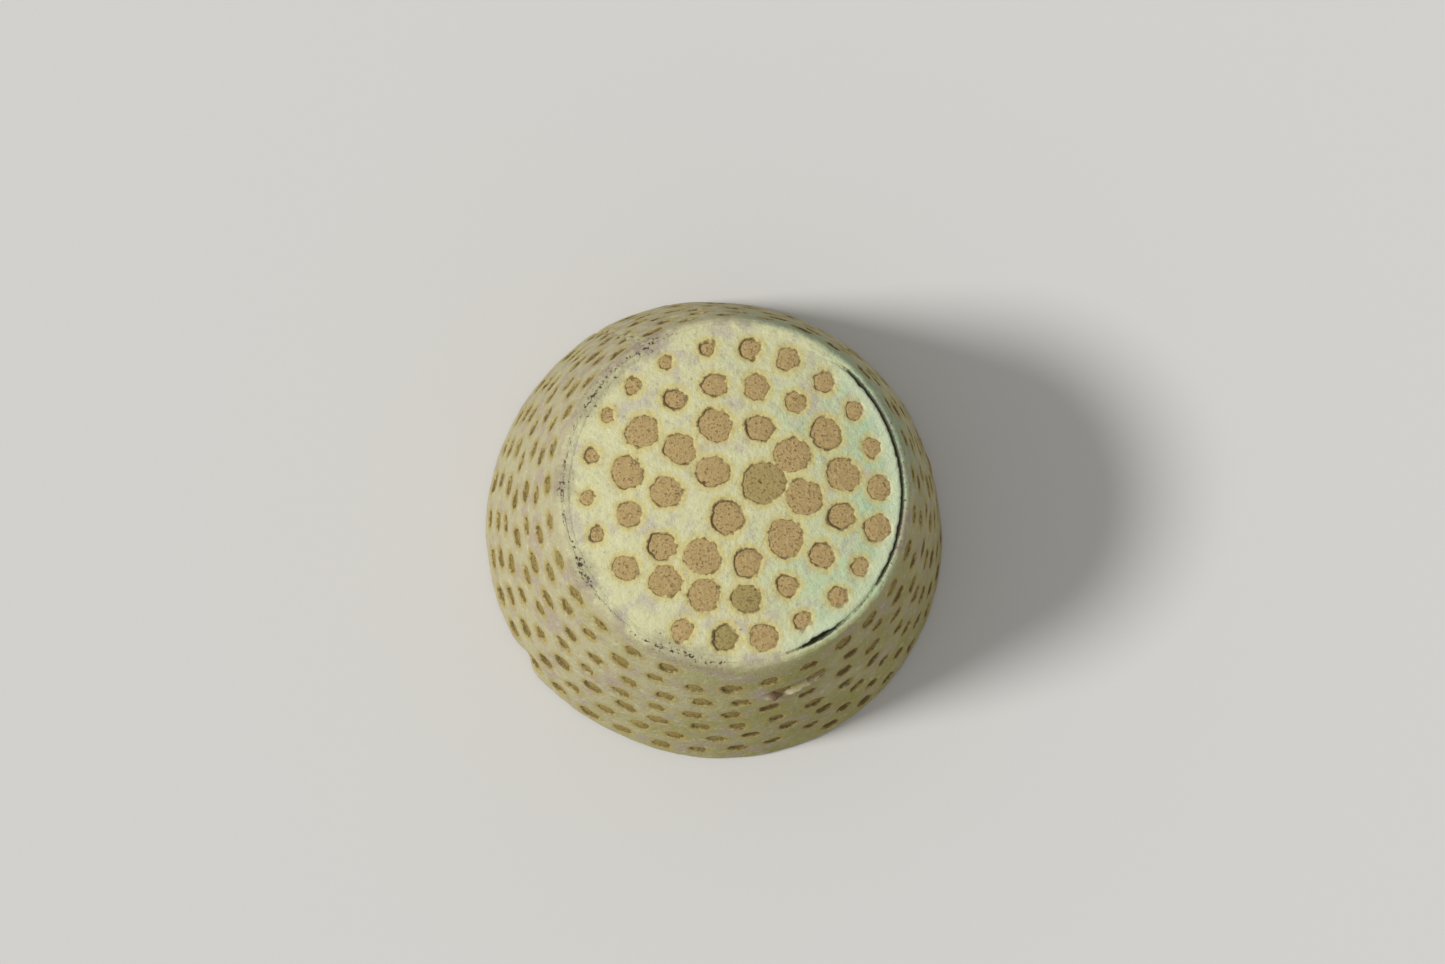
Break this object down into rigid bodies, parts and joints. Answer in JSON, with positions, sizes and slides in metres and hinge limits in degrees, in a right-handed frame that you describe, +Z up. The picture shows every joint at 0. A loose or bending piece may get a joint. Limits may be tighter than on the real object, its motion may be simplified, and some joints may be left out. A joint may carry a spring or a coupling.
{
  "type": "thimble",
  "caption": "Sewing thimble: tapered pitted side with a brazed-in domed crown, open below for the fingertip, soil in the pits.",
  "frame": {"origin": "centre of the open rim, on the surface that the thimble stands on", "axes": "+Z up along the thimble's axis, from the open rim to the crown; the side's seam is in the +Y, -X quarter"},
  "size_m": [0.0188, 0.0188, 0.0116],
  "materials": {
    "side_alloy": "corroded copper alloy, olive-green patina with pale deposits, matte",
    "crown_alloy": "corroded copper alloy, pale green patina, matte",
    "braze": "dark corroded braze, matte",
    "soil": "dry sandy soil, matte"
  },
  "bodies": {
    "root": {"side_wall": "side_alloy", "side_seam_braze": "braze", "crown_disc": "crown_alloy", "crown_braze": "braze", "crown_soil": "soil", "side_soil": "soil"}
  },
  "joints": []
}
